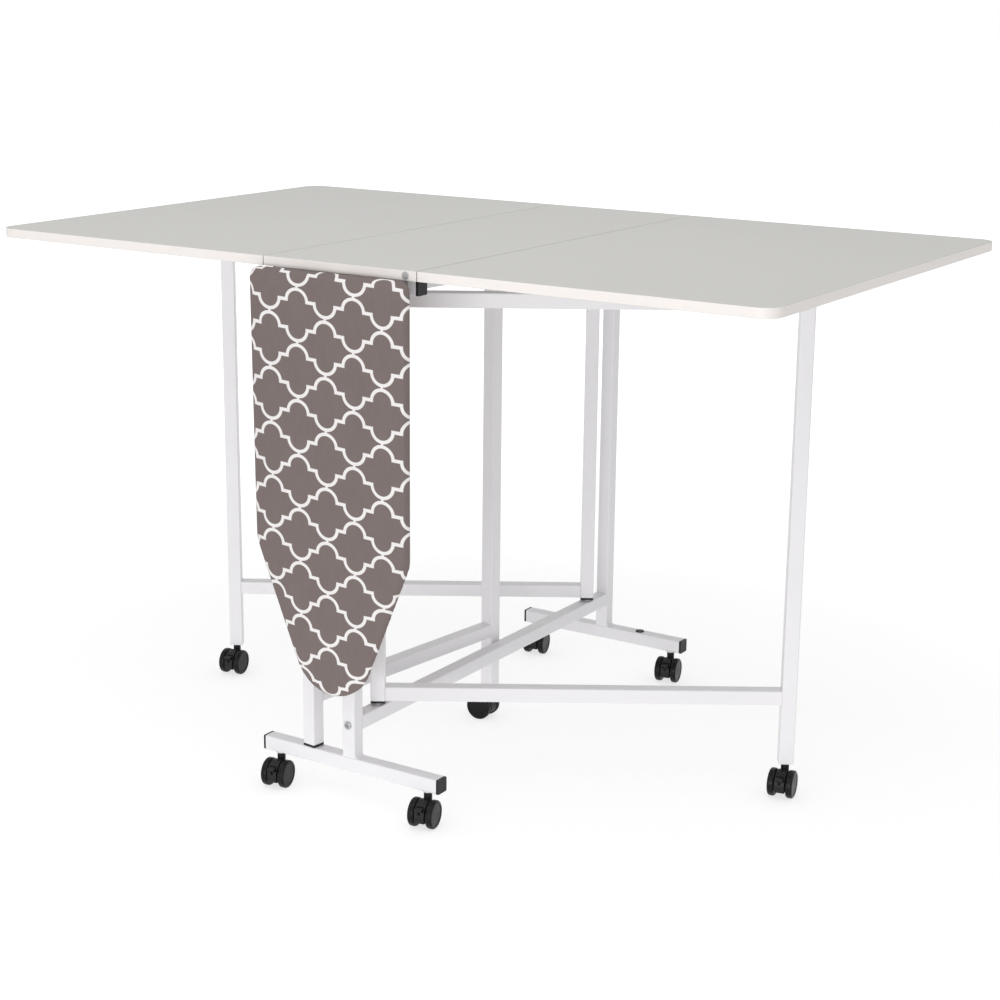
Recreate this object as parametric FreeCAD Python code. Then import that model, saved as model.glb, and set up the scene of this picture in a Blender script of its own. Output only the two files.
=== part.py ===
import FreeCAD, Part
import math
import os

# Folding cutting table: a fixed centre panel on a wheeled tube frame, two drop leaves on gate legs,
# and an ironing board that hangs at the near end and swings up, with a gate leg of its own.
# Millimetres. X runs along the open table, Y away from the near end, Z up, the floor is at zero.

Vector = FreeCAD.Vector
X_AXIS = Vector(1, 0, 0)
Y_AXIS = Vector(0, 1, 0)
Z_AXIS = Vector(0, 0, 1)
ORIGIN = Vector(0, 0, 0)

# Table top
table_height = 910.0
top_thickness = 16.0
top_depth = 896.0
centre_width = 296.0
leaf_length = 591.0
seam_gap = 1.2
leaf_corner_radius = 30.0
panel_edge_round = 0.8

# Square tube
tube_size = 25.0
tube_wall = 1.5
tube_corner = 2.5
cap_head = 4.0
cap_corner = 2.0
cap_plug_length = 12.0
cap_plug_clearance = 0.1

# Centre frame
end_frame_inset = 15.0
foot_bar_length = 352.0
top_bar_inset = 11.5
stretcher_rise = 44.0
foot_caster_inset = 24.0
collar_height = 3.0
collar_radius = 9.0

# Gate legs
gate_length = 690.0
gate_pivot_inset = 60.0
gate_open_angle = 32.5
lower_rail_rise = 8.5
upper_rail_drop = 14.5
support_gap = 0.4
ironing_gate_length = 465.0
ironing_pivot_offset = 82.0
ironing_gate_rest_gap = 0.5
pivot_pin_radius = 4.0
pivot_pin_reach = 18.0
pivot_washer_radius = 8.0
pivot_washer_height = 4.0
foot_washer_height = 0.6
running_clearance = 0.06
seat_clearance = 0.3
hole_clearance = 0.05
plug_head_radius = 8.5
plug_head_height = 2.0
plug_head_round = 1.2
plug_depth = 6.0

# Bolts and screws
bolt_head_radius = 6.8
bolt_head_height = 3.0
bolt_head_round = 1.5
bolt_shank_radius = 3.0
bolt_reach = 20.0
cross_length = 7.6
cross_width = 2.2
cross_depth = 1.8
edge_bolt_inset = 20.0
edge_bolt_head_radius = 6.2
edge_bolt_head_height = 1.5
edge_bolt_head_round = 0.7
edge_bolt_reach = 25.0
panel_screw_inset = 21.5
panel_screw_head_radius = 4.5
panel_screw_head_height = 2.5
panel_screw_radius = 2.0
panel_screw_bite = 10.0

# Leaf hinges
hinge_near_inset = 78.0
hinge_far_inset = 198.0
hinge_middle_place = -110.0
hinge_length = 54.0
hinge_flap_reach = 40.0
hinge_sheet = 1.5
knuckle_radius = 4.0
hinge_pin_radius = 1.5
knuckle_gap = 0.4
hinge_screw_radius = 3.2
hinge_screw_head = 1.0
hinge_screw_spacing = 30.0

# Ironing board
board_width = 300.0
board_length = 684.0
board_thickness = 18.0
board_stand_off = 18.0
board_top_drop = 2.0
board_top_radius = 18.0
board_tip_radius = 75.0
board_taper_angle = 22.4
board_shoulder_radius = 60.0
board_end_clearance = 2.5
cover_side = 3.0
cover_hem_sheet = 1.2
cover_hem_width = 22.0
deck_thickness = 8.0
deck_clearance = 0.2
cover_back_rim_width = 2.5
cover_back_rim_depth = 5.0
cover_front_rim_width = 9.0
cover_front_rim_depth = 9.0
cover_rim_steps = 5
cover_crown_rise = 1.6
cover_crown_inset = 44.0
board_hinge_inset = 36.5
board_hinge_width = 44.0
board_knuckle_radius = 5.0
board_knuckle_length = 14.0
board_pin_radius = 2.0
strap_length = 60.0
strap_sheet = 2.0
bracket_sheet = 2.5
bracket_arm_height = 6.0

# Casters
wheel_radius = 24.0
wheel_width = 12.0
wheel_gap = 19.6
wheel_edge_round = 3.8
wheel_rim_width = 6.0
wheel_recess_depth = 0.6
axle_radius = 3.0
axle_fit = 0.02
hub_step = 0.8
hub_wheel_clearance = 1.4
hub_floor_clearance = 13.0
caster_trail = 14.0
neck_radius = 7.0
neck_rise = 9.0
stem_radius = 4.5
stem_length = 18.0
caster_angle = 10.4
ironing_caster_angle = -88.0
brake_cheek = 1.6
brake_sheet = 4.0
brake_pivot_back = 13.0
brake_pivot_up = 14.0
brake_tip_reach = 14.5
brake_tail_reach = 3.0
brake_hub_radius = 2.8
brake_pin_radius = 1.5
brake_slot_side = 0.4
brake_slot_below = 4.8
brake_slot_above = 3.2
brake_slot_depth = 6.0
brake_tip_round = 1.5
brake_window_width = 4.5
brake_window_height = 5.0
brake_window_depth = 4.0

# Sizes that follow from the sizes above
top_bar_length = centre_width - 2 * top_bar_inset
tube_bore = tube_size - 2 * tube_wall
tube_bore_corner = max(tube_corner - tube_wall, tube_wall / 5)
hub_radius = wheel_radius - hub_step
hub_half = wheel_gap / 2 - hub_wheel_clearance
brake_slot_half = hub_half - brake_cheek
brake_width = 2 * (brake_slot_half - brake_slot_side)

# Heights that follow from the sizes above
underside = table_height - top_thickness
socket_height = 2 * wheel_radius + neck_rise
foot_bar_bottom = socket_height + collar_height
foot_bar_top = foot_bar_bottom + tube_size
stretcher_bottom = foot_bar_top + stretcher_rise
stretcher_top = stretcher_bottom + tube_size
top_bar_bottom = underside - tube_size
lower_rail_middle = stretcher_top + lower_rail_rise + tube_size / 2
upper_rail_middle = top_bar_bottom - upper_rail_drop - tube_size / 2
pivot_post_top = top_bar_bottom - pivot_washer_height - seat_clearance - cap_head
gate_post_foot = stretcher_top + pivot_washer_height + seat_clearance + cap_head
ironing_post_foot = foot_bar_top + foot_washer_height + seat_clearance + cap_head

# Places in plan that follow from the sizes above
near_edge = -top_depth / 2
end_frame_outer = near_edge + end_frame_inset
end_frame_middle = end_frame_outer + tube_size / 2
end_frame_inner = end_frame_outer + tube_size
foot_caster_place = foot_bar_length / 2 - foot_caster_inset
gate_pivot = end_frame_inner + gate_pivot_inset
seam_middle = centre_width / 2 + seam_gap / 2
leaf_start = centre_width / 2 + seam_gap
leaf_end = leaf_start + leaf_length
panel_screw_place = top_bar_length / 2 - panel_screw_inset
board_hinge_place = top_bar_length / 2 - board_hinge_inset
hinge_places = (end_frame_inner + hinge_near_inset, hinge_middle_place, -end_frame_inner - hinge_far_inset)
brake_pivot_y = -caster_trail - brake_pivot_back
brake_pivot_z = wheel_radius + brake_pivot_up

# The hinge of the ironing board lies where a quarter turn brings the board level with the table top
board_back = near_edge - board_stand_off
board_front = board_back - board_thickness
board_top = underside - board_top_drop
board_hinge_y = (table_height + board_front + near_edge - board_end_clearance - board_top) / 2
board_hinge_z = table_height + board_front - board_hinge_y
raised_board_under = board_hinge_z + board_hinge_y - board_back

# The stored ironing gate leans until its outer post rests beside the lower stretcher
lean_reach = ironing_gate_length + tube_size / 2
lean_side = ironing_pivot_offset - tube_size / 2 - ironing_gate_rest_gap
ironing_gate_lean = math.degrees(
    math.asin(lean_side / math.hypot(lean_reach, tube_size / 2)) - math.atan2(tube_size / 2, lean_reach))

# The origin is on the floor, in the middle of the whole outline, ironing board included
origin_shift = -(board_front - near_edge) / 2

gate_post_cap_top = underside - support_gap
ironing_post_cap_top = min(underside, raised_board_under) - support_gap
hinge_axis_height = underside - seat_clearance - knuckle_radius


def box(x0, x1, y0, y1, z0, z1):
    low = Vector(min(x0, x1), min(y0, y1), min(z0, z1))
    return Part.makeBox(abs(x1 - x0), abs(y1 - y0), abs(z1 - z0), low)


def rod(radius, start, axis, length):
    return Part.makeCylinder(radius, length, start, axis)


def unit(vector):
    return vector * (1.0 / vector.Length)


def rounded_outline(corners):
    """Closed wire in the XY plane: each corner is x, y and the radius of its tangent arc."""
    count = len(corners)
    points = [Vector(x, y, 0) for x, y, radius in corners]
    spans = []
    for i, (x, y, radius) in enumerate(corners):
        point = points[i]
        if radius == 0:
            spans.append((point, None, point))
            continue
        back = unit(points[i - 1] - point)
        ahead = unit(points[(i + 1) % count] - point)
        half = back.getAngle(ahead) / 2
        bisector = unit(back + ahead)
        reach = radius / math.tan(half)
        middle = point + bisector * (radius / math.sin(half) - radius)
        spans.append((point + back * reach, middle, point + ahead * reach))
    edges = []
    for i, (start, middle, end) in enumerate(spans):
        if middle is not None:
            edges.append(Part.Arc(start, middle, end).toShape())
        following = spans[(i + 1) % count][0]
        edges.append(Part.LineSegment(end, following).toShape())
    return Part.Wire(edges)


def rounded_prism(corners, length):
    return Part.Face(rounded_outline(corners)).extrude(Z_AXIS * length)


def square_corners(size, radius):
    half = size / 2
    return [(-half, -half, radius), (half, -half, radius), (half, half, radius), (-half, half, radius)]


def along(shape, start, direction):
    shape.Placement = FreeCAD.Placement(start, FreeCAD.Rotation(Z_AXIS, direction))
    return shape


def square_tube(start, direction, length):
    outer = rounded_prism(square_corners(tube_size, tube_corner), length)
    bore = rounded_prism(square_corners(tube_bore, tube_bore_corner), length)
    return along(outer.cut(bore), start, direction)


def tube_cap(start, direction, bore_radius=0.0):
    """Plastic cap on a tube end: start is the middle of the end, direction points out of the tube."""
    plug_size = tube_bore - 2 * cap_plug_clearance
    head = rounded_prism(square_corners(tube_size, cap_corner), cap_head)
    plug = rounded_prism(square_corners(plug_size, tube_bore_corner), cap_plug_length)
    plug.translate(Z_AXIS * -cap_plug_length)
    cap = head.fuse(plug).removeSplitter()
    if bore_radius:
        cap = cap.cut(rod(bore_radius, Z_AXIS * -cap_plug_length, Z_AXIS, cap_plug_length + cap_head))
    return along(cap, start, direction)


def turned(shape):
    """The same piece at the other end of the table: half a turn about the upright through the middle."""
    copy = shape.copy()
    copy.rotate(ORIGIN, Z_AXIS, 180)
    return copy


def with_far_ones(shapes):
    return shapes + [turned(shape) for shape in shapes]


def rounded_head(radius, height, rounding):
    head = Part.makeCylinder(radius, height)
    rim = [edge for edge in head.Edges if edge.BoundBox.ZMin > height / 2]
    return head.makeFillet(rounding, rim)


def cross_head_bolt(start, direction, reach):
    """Round-headed bolt with a cross recess: direction points out of the head, away from the shank."""
    head = rounded_head(bolt_head_radius, bolt_head_height, bolt_head_round)
    slot_floor = bolt_head_height - cross_depth
    for length, width in ((cross_length, cross_width), (cross_width, cross_length)):
        slot = box(-length / 2, length / 2, -width / 2, width / 2, slot_floor, bolt_head_height)
        head = head.cut(slot)
    shank = rod(bolt_shank_radius, Z_AXIS * -reach, Z_AXIS, reach)
    return along(head.fuse(shank), start, direction)


# Table top
def soften(panel):
    rims = [edge for edge in panel.Edges if edge.BoundBox.ZLength < panel_edge_round]
    return panel.makeFillet(panel_edge_round, rims)


def panel_prism(corners):
    panel = rounded_prism(corners, top_thickness)
    panel.translate(Z_AXIS * underside)
    return soften(panel)


def centre_panel():
    half = centre_width / 2
    far_edge = -near_edge
    panel = panel_prism([(-half, near_edge, 0), (half, near_edge, 0),
                         (half, far_edge, 0), (-half, far_edge, 0)])
    holes = [rod(panel_screw_radius + hole_clearance, Vector(x, y, underside), Z_AXIS, panel_screw_bite)
             for x, y in panel_screw_spots()]
    start = edge_bolt_spot()
    holes.append(rod(bolt_shank_radius + hole_clearance, start, Y_AXIS, edge_bolt_reach))
    return panel.cut(holes)


def right_leaf():
    far_edge = -near_edge
    return panel_prism([(leaf_start, near_edge, 0), (leaf_end, near_edge, leaf_corner_radius),
                        (leaf_end, far_edge, leaf_corner_radius), (leaf_start, far_edge, 0)])


def edge_bolt_spot():
    return Vector(centre_width / 2 - edge_bolt_inset, near_edge, table_height - top_thickness / 2)


def edge_bolt():
    head = rounded_head(edge_bolt_head_radius, edge_bolt_head_height, edge_bolt_head_round)
    shank = rod(bolt_shank_radius, Z_AXIS * -edge_bolt_reach, Z_AXIS, edge_bolt_reach)
    return along(head.fuse(shank), edge_bolt_spot(), -Y_AXIS)


def panel_screw_spots():
    return [(sx * panel_screw_place, sy * end_frame_middle) for sx in (-1, 1) for sy in (-1, 1)]


def panel_screws():
    screws = []
    for x, y in panel_screw_spots():
        start = Vector(x, y, top_bar_bottom)
        head_base = start - Z_AXIS * panel_screw_head_height
        head = rod(panel_screw_head_radius, head_base, Z_AXIS, panel_screw_head_height)
        shank = rod(panel_screw_radius, start, Z_AXIS, tube_size + panel_screw_bite)
        screws.append(head.fuse(shank))
    return Part.makeCompound(screws)


# Leaf hinges under the right seam, the left ones are the same pieces turned round
def knuckle(y0, y1):
    return rod(knuckle_radius, Vector(seam_middle, y0, hinge_axis_height), Y_AXIS, y1 - y0)


def hinge_sheet_at(y0, y1, side):
    """Flat of a hinge half: side is 1 on the leaf and -1 on the centre panel."""
    inner = seam_middle + side * knuckle_radius
    flat = box(inner, seam_middle + side * hinge_flap_reach, y0, y1, underside - hinge_sheet, underside)
    for y in ((y0 + y1 - hinge_screw_spacing) / 2, (y0 + y1 + hinge_screw_spacing) / 2):
        middle = seam_middle + side * (knuckle_radius + hinge_flap_reach) / 2
        head_base = Vector(middle, y, underside - hinge_sheet - hinge_screw_head)
        flat = flat.fuse(rod(hinge_screw_radius, head_base, Z_AXIS, hinge_screw_head))
    return flat


def hinge_web(y0, y1, side):
    web_end = seam_middle + side * (knuckle_radius + hinge_sheet)
    return box(seam_middle, web_end, y0, y1, hinge_axis_height, underside - hinge_sheet)


def hinge_knuckle_spans(y):
    third = hinge_length / 3
    start = y - hinge_length / 2
    cuts = [start, start + third, start + 2 * third, start + hinge_length]
    return [(cuts[0], cuts[1]), (cuts[1] + knuckle_gap, cuts[2] - knuckle_gap), (cuts[2], cuts[3])]


def hinge_half(y, side):
    spans = hinge_knuckle_spans(y)
    own = [spans[1]] if side > 0 else [spans[0], spans[2]]
    half = hinge_sheet_at(y - hinge_length / 2, y + hinge_length / 2, side)
    for y0, y1 in own:
        half = half.fuse(knuckle(y0, y1)).fuse(hinge_web(y0, y1, side))
    axis_start = Vector(seam_middle, y - hinge_length / 2, hinge_axis_height)
    if side > 0:
        bore = rod(hinge_pin_radius + running_clearance, axis_start, Y_AXIS, hinge_length)
        return half.cut(bore).removeSplitter()
    pin = rod(hinge_pin_radius, axis_start, Y_AXIS, hinge_length)
    return half.fuse(pin).removeSplitter()


def right_hinge_halves(side):
    return [hinge_half(y, side) for y in hinge_places]


# Centre frame
def stem_bore(x, y):
    start = Vector(x, y, socket_height)
    return rod(stem_radius + running_clearance, start, Z_AXIS, collar_height + tube_wall)


def near_foot_bar():
    bar_start = Vector(-foot_bar_length / 2, end_frame_middle, foot_bar_bottom + tube_size / 2)
    bar = square_tube(bar_start, X_AXIS, foot_bar_length)
    for x in (-foot_caster_place, foot_caster_place):
        collar = rod(collar_radius, Vector(x, end_frame_middle, socket_height), Z_AXIS, collar_height)
        bar = bar.fuse(collar).cut(stem_bore(x, end_frame_middle))
    pivot_start = Vector(-ironing_pivot_offset, end_frame_middle, foot_bar_top - tube_wall)
    return bar.cut(rod(pivot_pin_radius + hole_clearance, pivot_start, Z_AXIS, tube_wall))


def near_post():
    post = square_tube(Vector(0, end_frame_middle, foot_bar_top), Z_AXIS, top_bar_bottom - foot_bar_top)
    hole = rod(bolt_shank_radius + hole_clearance, lower_bolt_spot(), Y_AXIS, tube_size)
    return post.cut(hole)


def lower_bolt_spot():
    return Vector(0, end_frame_outer, stretcher_bottom + tube_size / 2)


def upper_bolt_spot():
    return Vector(0, end_frame_outer, top_bar_bottom + tube_size / 2)


def near_top_bar():
    bar_start = Vector(-top_bar_length / 2, end_frame_middle, top_bar_bottom + tube_size / 2)
    bar = square_tube(bar_start, X_AXIS, top_bar_length)
    holes = [rod(bolt_shank_radius + hole_clearance, upper_bolt_spot(), Y_AXIS, tube_size)]
    for x in (-panel_screw_place, panel_screw_place):
        start = Vector(x, end_frame_middle, top_bar_bottom)
        holes.append(rod(panel_screw_radius + hole_clearance, start, Z_AXIS, tube_size))
    pivot_start = Vector(-ironing_pivot_offset, end_frame_middle, top_bar_bottom)
    holes.append(rod(pivot_pin_radius + hole_clearance, pivot_start, Z_AXIS, tube_wall))
    return bar.cut(holes)


def stretcher(bottom, pin_wall_bottom):
    bar = square_tube(Vector(0, end_frame_inner, bottom + tube_size / 2), Y_AXIS, -2 * end_frame_inner)
    holes = [rod(pivot_pin_radius + hole_clearance, Vector(0, y, pin_wall_bottom), Z_AXIS, tube_wall)
             for y in (gate_pivot, -gate_pivot)]
    return bar.cut(holes)


def frame_caps():
    foot_end = Vector(foot_bar_length / 2, end_frame_middle, foot_bar_bottom + tube_size / 2)
    top_end = Vector(top_bar_length / 2, end_frame_middle, top_bar_bottom + tube_size / 2)
    caps = []
    for end in (foot_end, top_end):
        caps.append(tube_cap(end, X_AXIS))
        caps.append(tube_cap(Vector(-end.x, end.y, end.z), -X_AXIS))
    return Part.makeCompound(with_far_ones(caps))


def spare_hole_plug():
    start = Vector(ironing_pivot_offset, -end_frame_middle, foot_bar_top)
    head = rounded_head(plug_head_radius, plug_head_height, plug_head_round)
    head.translate(start)
    return head.fuse(rod(pivot_pin_radius, start - Z_AXIS * plug_depth, Z_AXIS, plug_depth))


def frame_bolts():
    near_bolts = [cross_head_bolt(spot, -Y_AXIS, tube_size + bolt_reach)
                  for spot in (lower_bolt_spot(), upper_bolt_spot())]
    return Part.makeCompound(with_far_ones(near_bolts) + [edge_bolt()])


def pivot_pin(x, y, seat, up, washer_height):
    """Pin of a gate leg on the tube face at height seat: up is 1 above that face and -1 below it."""
    axis = Z_AXIS * up
    washer = rod(pivot_washer_radius, Vector(x, y, seat), axis, washer_height)
    shaft_start = Vector(x, y, seat) - axis * tube_wall
    shaft = rod(pivot_pin_radius, shaft_start, axis, tube_wall + washer_height + pivot_pin_reach)
    return washer.fuse(shaft)


def gate_pivot_pins():
    pins = []
    for y in (gate_pivot, -gate_pivot):
        pins.append(pivot_pin(0, y, stretcher_top, 1, pivot_washer_height))
        pins.append(pivot_pin(0, y, top_bar_bottom, -1, pivot_washer_height))
    pins.append(pivot_pin(-ironing_pivot_offset, end_frame_middle, foot_bar_top, 1, foot_washer_height))
    pins.append(pivot_pin(-ironing_pivot_offset, end_frame_middle, top_bar_bottom, -1, pivot_washer_height))
    return Part.makeCompound(pins)


# Gate legs, each built along X from its pivot and then turned to its place
def gate_outer_post(length, cap_top):
    foot = rounded_prism(square_corners(tube_size, tube_corner), collar_height)
    foot.translate(Vector(length, 0, socket_height))
    post = square_tube(Vector(length, 0, foot_bar_bottom), Z_AXIS, cap_top - cap_head - foot_bar_bottom)
    post = post.fuse(foot).removeSplitter()
    return post.cut(stem_bore(length, 0))


def gate_rail(length, middle):
    return square_tube(Vector(tube_size / 2, 0, middle), X_AXIS, length - tube_size)


def gate_caps(length, foot, cap_top):
    bore = pivot_pin_radius + running_clearance
    return Part.makeCompound([tube_cap(Vector(0, 0, foot), -Z_AXIS, bore),
                              tube_cap(Vector(0, 0, pivot_post_top), Z_AXIS, bore),
                              tube_cap(Vector(length, 0, cap_top - cap_head), Z_AXIS)])


def gate(prefix, pivot, angle, length, foot, cap_top):
    pieces = {
        "pivot_post": square_tube(Vector(0, 0, foot), Z_AXIS, pivot_post_top - foot),
        "outer_post": gate_outer_post(length, cap_top),
        "lower_rail": gate_rail(length, lower_rail_middle),
        "upper_rail": gate_rail(length, upper_rail_middle),
        "post_caps": gate_caps(length, foot, cap_top),
    }
    nodes = {}
    for name, shape in pieces.items():
        shape.rotate(ORIGIN, Z_AXIS, angle)
        shape.translate(pivot)
        nodes[prefix + "_" + name] = shape
    return nodes


def gate_caster_spot(pivot, angle, length):
    turn = math.radians(angle)
    return pivot + Vector(length * math.cos(turn), length * math.sin(turn), 0)


# Ironing board
def board_outline(inset, depth):
    """Outline of the board, drawn in by inset, at this depth in front of the board's back."""
    taper = math.radians(board_taper_angle)
    half = board_width / 2 - inset
    top = board_top - inset
    tip_middle = board_top - board_length + board_tip_radius
    tip_radius = board_tip_radius - inset
    apex = tip_middle - tip_radius / math.sin(taper)
    shoulder = apex + half / math.tan(taper)
    least = board_top_radius / 6
    top_radius = max(board_top_radius - inset, least)
    shoulder_radius = max(board_shoulder_radius - inset, least)
    wire = rounded_outline([(-half, top, top_radius), (-half, shoulder, shoulder_radius),
                            (0, apex, tip_radius),
                            (half, shoulder, shoulder_radius), (half, top, top_radius)])
    wire.rotate(ORIGIN, X_AXIS, 90)
    wire.translate(Vector(0, board_back - depth, 0))
    return wire


def board_slab(inset, depth, thickness):
    return Part.Face(board_outline(inset, depth)).extrude(Vector(0, -thickness, 0))


def ironing_deck():
    inset = cover_side + deck_clearance
    return board_slab(inset, cover_hem_sheet + deck_clearance, deck_thickness)


def cover_profile():
    """Pairs of inset and depth, from the cover's back round its rim to the crown of its face."""
    rim_top = board_thickness - cover_crown_rise
    turns = [math.pi / 2 * step / cover_rim_steps for step in range(cover_rim_steps + 1)]
    back = [(cover_back_rim_width * (1 - math.sin(turn)), cover_back_rim_depth * (1 - math.cos(turn)))
            for turn in turns]
    front = [(cover_front_rim_width * (1 - math.cos(turn)),
              rim_top - cover_front_rim_depth * (1 - math.sin(turn))) for turn in turns]
    return back + front + [(cover_crown_inset, board_thickness)]


def ironing_cover():
    """Padded cover: full in the middle, drawn in at the rim, and turned over the deck's back as a hem."""
    pad = Part.makeLoft([board_outline(inset, depth) for inset, depth in cover_profile()], True, True)
    pocket = board_slab(cover_side, cover_hem_sheet, deck_thickness + 2 * deck_clearance)
    opening = board_slab(cover_hem_width, 0, cover_hem_sheet)
    return pad.cut([pocket, opening])


def board_hinge_axis(x):
    return Vector(x, board_hinge_y, board_hinge_z)


def board_hinge_bracket(x):
    """Bracket on the near top bar, with the middle knuckle and the pin."""
    plate_front = end_frame_outer - bracket_sheet
    plate = box(x - board_hinge_width / 2, x + board_hinge_width / 2, plate_front, end_frame_outer,
                top_bar_bottom, underside)
    half = board_knuckle_length / 2
    arm = box(x - half, x + half, board_hinge_y, plate_front, board_hinge_z - bracket_arm_height / 2,
              board_hinge_z + bracket_arm_height / 2)
    barrel = rod(board_knuckle_radius, board_hinge_axis(x - half), X_AXIS, board_knuckle_length)
    pin = rod(board_pin_radius, board_hinge_axis(x - board_hinge_width / 2), X_AXIS, board_hinge_width)
    return plate.fuse([arm, barrel, pin]).removeSplitter()


def board_hinge_strap(x):
    """Strap on the board's back, with the two outer knuckles."""
    strap_back = board_back + strap_sheet
    strap = box(x - board_hinge_width / 2, x + board_hinge_width / 2, board_back, strap_back,
                board_hinge_z - strap_length, board_hinge_z + board_knuckle_radius)
    inner = board_knuckle_length / 2 + knuckle_gap
    length = board_hinge_width / 2 - inner
    for start in (x - board_hinge_width / 2, x + inner):
        web = box(start, start + length, strap_back, board_hinge_y,
                  board_hinge_z - board_knuckle_radius / 2, board_hinge_z + board_knuckle_radius / 2)
        strap = strap.fuse([rod(board_knuckle_radius, board_hinge_axis(start), X_AXIS, length), web])
    bore = rod(board_pin_radius + running_clearance, board_hinge_axis(x - board_hinge_width / 2), X_AXIS,
               board_hinge_width)
    relief = rod(board_knuckle_radius + seat_clearance, board_hinge_axis(x - inner), X_AXIS, 2 * inner)
    return strap.cut([bore, relief]).removeSplitter()


def both_board_hinges(make):
    return Part.makeCompound([make(-board_hinge_place), make(board_hinge_place)])


# Casters, each built with its stem at the origin and its wheels trailing towards the near end
def caster_body():
    hub = rod(hub_radius, Vector(-hub_half, -caster_trail, wheel_radius), X_AXIS, 2 * hub_half)
    reach = caster_trail + hub_radius
    hub = hub.cut(box(-hub_half, hub_half, -reach, reach, 0, hub_floor_clearance))
    neck_start = wheel_radius + neck_radius
    neck = rod(neck_radius, Vector(0, 0, neck_start), Z_AXIS, socket_height - seat_clearance - neck_start)
    stem = rod(stem_radius, Vector(0, 0, neck_start), Z_AXIS, socket_height + stem_length - neck_start)
    body = hub.fuse([neck, stem])
    axle_start = Vector(-hub_half, -caster_trail, wheel_radius)
    body = body.cut(rod(axle_radius + running_clearance, axle_start, X_AXIS, 2 * hub_half))
    slot_floor = brake_pivot_z - brake_slot_below
    body = body.cut(box(-brake_slot_half, brake_slot_half, -reach, brake_pivot_y + brake_slot_depth,
                        slot_floor, brake_pivot_z + brake_slot_above))
    body = body.cut(box(-brake_window_width / 2, brake_window_width / 2, -reach,
                        brake_window_depth - reach, slot_floor - brake_window_height, slot_floor))
    pin = rod(brake_pin_radius, Vector(-hub_half, brake_pivot_y, brake_pivot_z), X_AXIS, 2 * hub_half)
    return body.fuse(pin).removeSplitter()


def caster_wheel(side):
    inner = Vector(side * wheel_gap / 2, -caster_trail, wheel_radius)
    outward = X_AXIS * side
    wheel = rod(wheel_radius, inner, outward, wheel_width)
    rims = [edge for edge in wheel.Edges if edge.BoundBox.XLength < wheel_edge_round]
    wheel = wheel.makeFillet(wheel_edge_round, rims)
    recess_floor = inner + outward * (wheel_width - wheel_recess_depth)
    wheel = wheel.cut(rod(wheel_radius - wheel_rim_width, recess_floor, outward, wheel_recess_depth))
    return wheel.cut(rod(axle_radius + axle_fit, inner, outward, wheel_width - 2 * wheel_recess_depth))


def caster_wheels():
    axle_half = wheel_gap / 2 + wheel_width - 2 * wheel_recess_depth
    axle = rod(axle_radius, Vector(-axle_half, -caster_trail, wheel_radius), X_AXIS, 2 * axle_half)
    return Part.makeCompound([caster_wheel(-1), caster_wheel(1), axle])


def caster_brake():
    tip = brake_pivot_y - brake_tip_reach
    tab = box(-brake_width / 2, brake_width / 2, tip, brake_pivot_y + brake_tail_reach,
              brake_pivot_z - brake_sheet / 2, brake_pivot_z + brake_sheet / 2)
    front = [edge for edge in tab.Edges
             if edge.BoundBox.YMax < tip + brake_sheet / 2 and edge.BoundBox.XLength > brake_width / 2]
    tab = tab.makeFillet(brake_tip_round, front)
    pivot_start = Vector(-brake_width / 2, brake_pivot_y, brake_pivot_z)
    hub = rod(brake_hub_radius, pivot_start, X_AXIS, brake_width)
    bore = rod(brake_pin_radius + running_clearance, pivot_start, X_AXIS, brake_width)
    return tab.fuse(hub).cut(bore).removeSplitter()


def caster(prefix, spot, angle):
    nodes = {}
    for name, shape in (("body", caster_body()), ("wheels", caster_wheels()), ("brake", caster_brake())):
        shape.rotate(ORIGIN, Z_AXIS, angle)
        shape.translate(spot)
        nodes[prefix + "_caster_" + name] = shape
    return nodes


# The whole table
right_gate_pivot = Vector(0, gate_pivot, 0)
left_gate_pivot = Vector(0, -gate_pivot, 0)
ironing_gate_pivot = Vector(-ironing_pivot_offset, end_frame_middle, 0)
left_gate_angle = gate_open_angle + 180
ironing_gate_angle = 90 - ironing_gate_lean

caster_spots = {
    "near_left": (Vector(-foot_caster_place, end_frame_middle, 0), caster_angle),
    "near_right": (Vector(foot_caster_place, end_frame_middle, 0), caster_angle),
    "far_left": (Vector(-foot_caster_place, -end_frame_middle, 0), caster_angle),
    "far_right": (Vector(foot_caster_place, -end_frame_middle, 0), caster_angle),
    "right_gate": (gate_caster_spot(right_gate_pivot, gate_open_angle, gate_length), caster_angle),
    "left_gate": (gate_caster_spot(left_gate_pivot, left_gate_angle, gate_length), caster_angle),
    "ironing_gate": (gate_caster_spot(ironing_gate_pivot, ironing_gate_angle, ironing_gate_length),
                     ironing_caster_angle),
}


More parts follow.
